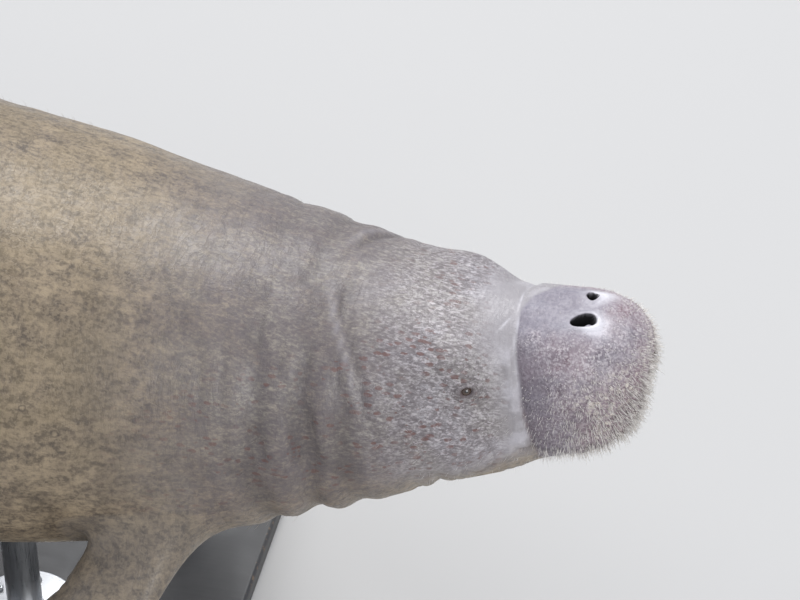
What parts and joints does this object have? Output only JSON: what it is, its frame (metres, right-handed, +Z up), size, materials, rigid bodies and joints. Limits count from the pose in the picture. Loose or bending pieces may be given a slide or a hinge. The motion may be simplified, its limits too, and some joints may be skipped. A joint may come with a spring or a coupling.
{
  "type": "manatee",
  "caption": "Life-size still model of a manatee with its head raised to breathe, paddle tail and side flippers, on a flat base with rods.",
  "frame": {"origin": "centre of the bounding box's underside, on the underside of the stand's flat base", "axes": "+X forward toward the snout, +Y to the animal's left, +Z up"},
  "size_m": [2.9782, 1.009, 0.9931],
  "materials": {
    "skin": "matte grey wrinkled hide",
    "fin_skin": "matte darker grey hide",
    "eye": "wet dark brown",
    "horn": "satin horn",
    "metal": "brushed",
    "board": "satin dark paint"
  },
  "bodies": {
    "root": {"head": "skin", "lower_jaw": "skin", "neck": "skin", "chest": "skin", "belly": "skin", "tail_stock": "skin", "tail_paddle": "fin_skin", "flipper_left": "fin_skin", "flipper_right": "fin_skin", "eye_left": "eye", "eye_right": "eye", "nail_left_1": "horn", "nail_left_2": "horn", "nail_left_3": "horn", "nail_right_1": "horn", "nail_right_2": "horn", "nail_right_3": "horn", "stand_base": "board", "stand_rod_front": "metal", "stand_rod_rear": "metal"}
  },
  "joints": []
}
